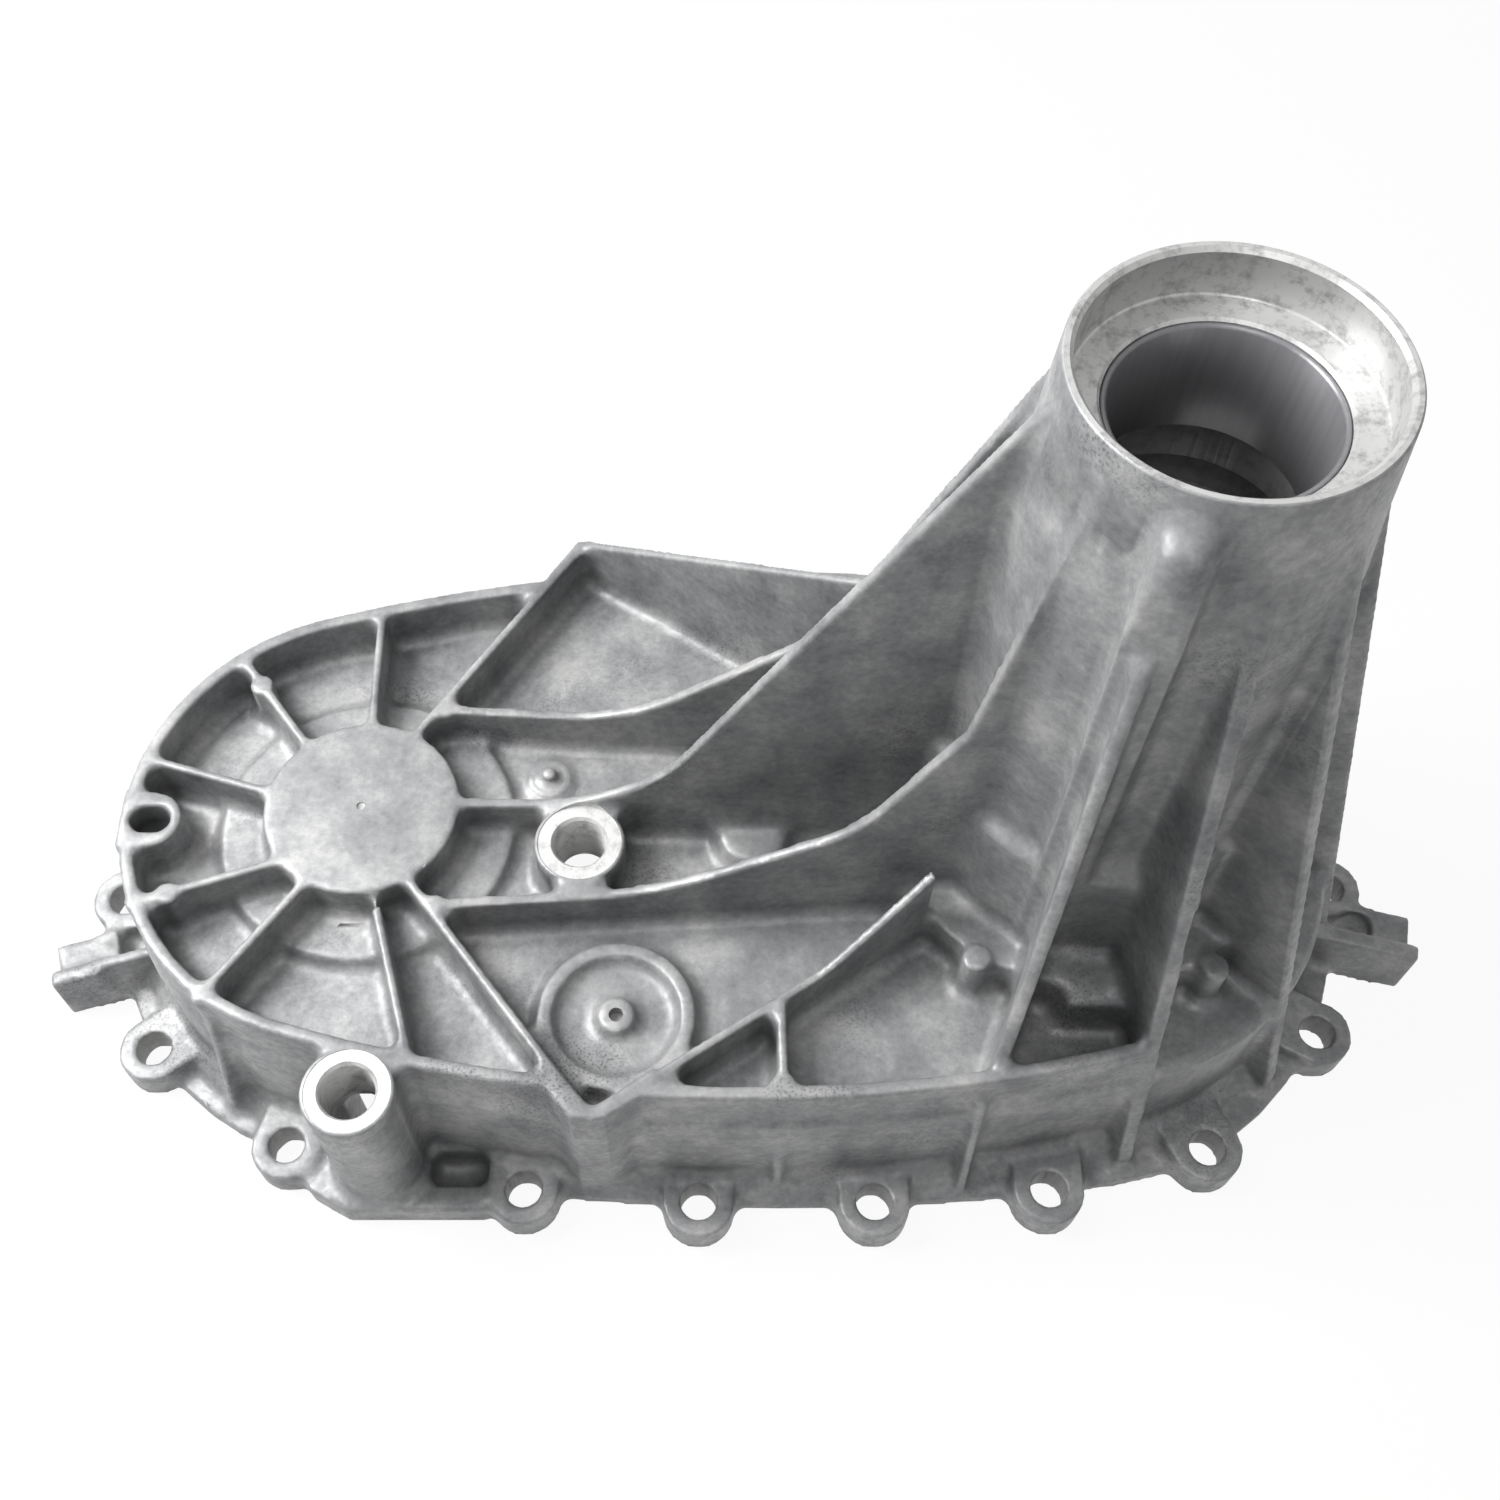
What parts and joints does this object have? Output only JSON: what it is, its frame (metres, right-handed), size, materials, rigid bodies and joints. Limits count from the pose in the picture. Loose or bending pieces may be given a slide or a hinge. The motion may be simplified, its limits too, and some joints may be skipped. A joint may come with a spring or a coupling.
{
  "type": "transfer case housing",
  "caption": "Ribbed die cast rear half of a chain driven transfer case with an open hollow, a blind bearing boss, a tall bushed output tower and a bolted flange.",
  "frame": {"origin": "centre of the bolt rows on the mating face", "axes": "+Z out of the case along the output tower, +X along the long axis from the blind boss to the tower, +Y away from the drain boss"},
  "size_m": [0.4301, 0.219, 0.248],
  "materials": {
    "cast_magnesium": "as cast, satin",
    "bush_steel": "fine turned"
  },
  "bodies": {
    "root": {"rear_case": "cast_magnesium", "output_bushing": "bush_steel"}
  },
  "joints": []
}
